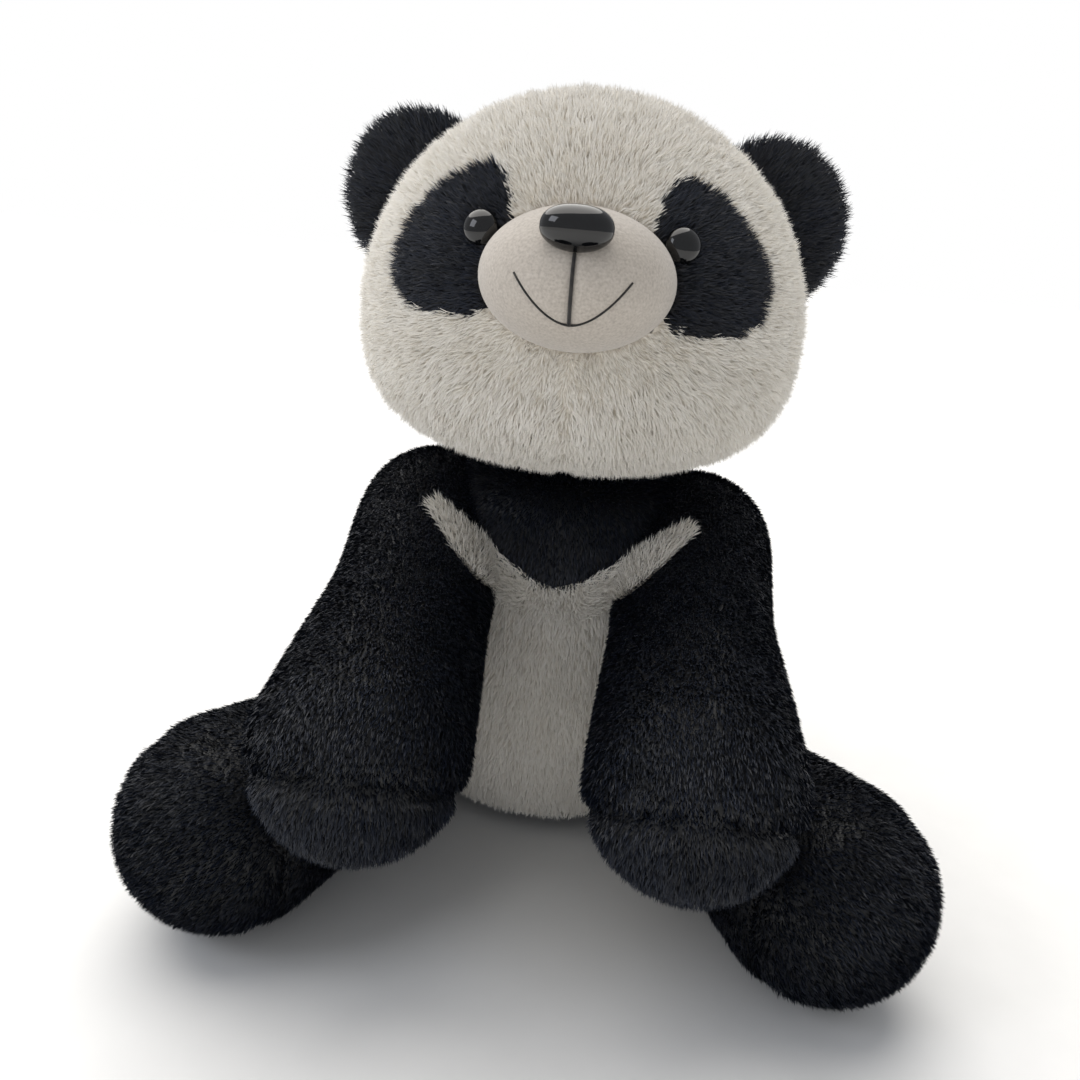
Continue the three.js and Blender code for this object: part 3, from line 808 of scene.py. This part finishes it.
def makeLimb(limb, side, sign, seed):
    bm, pivot, end, seam, centre = limbSkin(limb, sign, limb["inset"], limb["groove"])
    along = (end - pivot).normalized()
    kind, cover, sole, soleNode = limb["names"]
    body = f"{side}_{kind}"

    def combLimb(p, normal):
        away = (p - centre).dot(seam)
        if away > 0:
            return (p - end).normalized() * 0.4 + seam * 0.6
        return along * (1 - 0.6 * math.exp(away / 8))

    def longLimb(p, normal):
        away = (p - centre).dot(seam)
        return 1 - 0.65 * math.exp(-(away / 2.6) ** 2)

    inner = limbSkin(limb, sign, limb["filling"], 0)[0]
    makeFilling(inner, f"{body}_filling", body, [f"{body}_stuffing"])
    growFur(part(bm, lambda p: (p - centre).dot(seam) < 0), f"{body}_fur", "body", combLimb,
            body, [f"{side}_{cover}"], seed, longLimb)
    growFur(part(bm, lambda p: (p - centre).dot(seam) >= 0), f"{side}_{sole}_fur", "body",
            combLimb, body, [f"{side}_{soleNode}"], seed + 10, longLimb)
    return bm


armBms = {}
for index, (side, sign) in enumerate(sides):
    armBms[side] = makeLimb(limbs["arm"], side, sign, 301 + 40 * index)
    makeLimb(limbs["leg"], side, sign, 401 + 40 * index).free()


# White stripes over the chest

stripe = {
    # middle line in the front view, and half its width there
    "line": [(0, 145, 9), (12, 147.5, 10), (24, 154.5, 9.5), (36, 164.5, 8), (48, 175.5, 6.2),
             (58, 185.5, 4.8), (66, 193, 3.3)],
    "lift": 1.2, "rows": 7,
}


def makeStripe(side, sign, seed):
    target = bmesh.new()
    for source in (torsoBm, armBms[side]):
        mesh = bpy.data.meshes.new("under")
        source.to_mesh(mesh)
        target.from_mesh(mesh)
        bpy.data.meshes.remove(mesh)
    tree = treeOf(target)
    view = Vector((0, 0.94, -0.34))
    line = eased([tuple(float(v) for v in row) for row in stripe["line"]], 6)
    bm = bmesh.new()
    grid = []
    for i, (x, z, half) in enumerate(line):
        ahead = line[min(i + 1, len(line) - 1)]
        behind = line[max(i - 1, 0)]
        way = Vector((ahead[0] - behind[0], ahead[1] - behind[1])).normalized()
        row = []
        for j in range(stripe["rows"]):
            share = 2 * j / (stripe["rows"] - 1) - 1
            px, pz = x - way.y * half * share, z + way.x * half * share
            origin = Vector((sign * px, -60, pz)) * mm - view * 0.2
            hit, normal, face, distance = tree.ray_cast(origin, view)
            edge = 1 - share ** 2
            row.append(bm.verts.new(hit + normal * (stripe["lift"] * (0.3 + edge)) * mm))
        grid.append(row)
    for a, b in zip(grid, grid[1:]):
        for k in range(stripe["rows"] - 1):
            bm.faces.new([a[k], b[k], b[k + 1], a[k + 1]][::sign])
    inner = [v for row in grid[1:-1] for v in row[1:-1]]
    for turn in range(4):
        bmesh.ops.smooth_vert(bm, verts=inner, factor=0.5, use_axis_x=True, use_axis_y=True,
                              use_axis_z=True)
    bm.normal_update()
    target.free()
    def combStripe(p, normal):
        return Vector((sign * 0.75, 0, 0.55)) if abs(p.x) > 14 else Vector((0, 0, -0.6))

    obj = growFur(bm, f"{side}_stripe_fur", "stripe", combStripe, None, None, seed)
    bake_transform(obj)


for index, (side, sign) in enumerate(sides):
    makeStripe(side, sign, 501 + 40 * index)


# Stage

def makeStage():
    bm = bmesh.new()
    bmesh.ops.create_grid(bm, x_segments=1, y_segments=1, size=6)
    floor = toObject(bm, "floor")
    material, tree, shader = newMaterial("white_paper_sweep", Roughness=0.9)
    place = add(tree, "ShaderNodeTexCoord")
    tooth = add(tree, "ShaderNodeTexNoise", {"Scale": 40.0}, {"Vector": place.outputs["Object"]})
    colour = ramp(tree, tooth.outputs["Fac"], [(0.3, "#fbfbfa"), (0.7, "#fefefd")])
    tree.links.new(colour, shader.inputs["Base Color"])
    floor.data.materials.append(material)

    scene = bpy.context.scene
    world = bpy.data.worlds.new("studio")
    world.use_nodes = True
    tree = world.node_tree
    soft = tree.nodes["Background"]
    soft.inputs["Color"].default_value = linear("#f4f6fa")
    soft.inputs["Strength"].default_value = 0.45
    seen = add(tree, "ShaderNodeBackground", {"Color": (1, 1, 1, 1), "Strength": 1.0})
    direct = add(tree, "ShaderNodeLightPath").outputs["Is Camera Ray"]
    both = add(tree, "ShaderNodeMixShader", {},
               {0: direct, 1: soft.outputs[0], 2: seen.outputs[0]})
    tree.links.new(both.outputs[0], tree.nodes["World Output"].inputs["Surface"])
    scene.world = world
    for name, kind, place, size, power, warm in lamps:
        lamp = bpy.data.lights.new(name, kind)
        if kind == "SUN":
            lamp.angle = math.radians(size)
        else:
            lamp.size = size
        lamp.energy = power
        lamp.color = linear(warm)[:3]
        obj = bpy.data.objects.new(name, lamp)
        obj.location = place
        obj.rotation_euler = (Vector((0, -0.02, 0.2)) - Vector(place)).to_track_quat(
            "-Z", "Y").to_euler()
        scene.collection.objects.link(obj)


lamps = [
    # sizes: the sun's spread in degrees, the others' side in metres
    ("ceiling", "SUN", (-0.5, 0.8, 2.0), 75, 2.65, "#fffbf5"),
    ("window_left", "AREA", (-1.3, -0.7, 1.1), 0.7, 4.5, "#f2f6ff"),
]

camera = {
    "distance": 499.5, "height": 335.6, "pitch": 19.6, "turn": -2.2, "roll": 5.1,
    "lens": 30.84, "shift": 0.02102,
}


def makeCamera():
    turn, pitch, roll = (math.radians(camera[k]) for k in ("turn", "pitch", "roll"))
    ahead = Vector((math.sin(turn) * math.cos(pitch), math.cos(turn) * math.cos(pitch),
                    -math.sin(pitch)))
    right = ahead.cross(Vector((0, 0, 1))).normalized()
    above = right.cross(ahead)
    rolledRight = right * math.cos(roll) + above * math.sin(roll)
    rolledUp = above * math.cos(roll) - right * math.sin(roll)
    place = Vector((-math.sin(turn) * camera["distance"], -math.cos(turn) * camera["distance"],
                    camera["height"])) * mm
    lens = bpy.data.cameras.new("camera")
    lens.sensor_width = 36
    lens.lens = camera["lens"]
    lens.shift_x = -camera["shift"] * math.cos(roll)
    lens.shift_y = camera["shift"] * math.sin(roll)
    lens.clip_start = 0.01
    obj = bpy.data.objects.new("camera", lens)
    turned3 = Matrix((rolledRight, rolledUp, -ahead)).transposed()
    obj.matrix_world = Matrix.Translation(place) @ turned3.to_4x4()
    bpy.context.scene.collection.objects.link(obj)
    bpy.context.scene.camera = obj


makeStage()
makeCamera()
bpy.context.scene.view_settings.view_transform = "Standard"
bpy.context.view_layer.update()
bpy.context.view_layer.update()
report("finished")
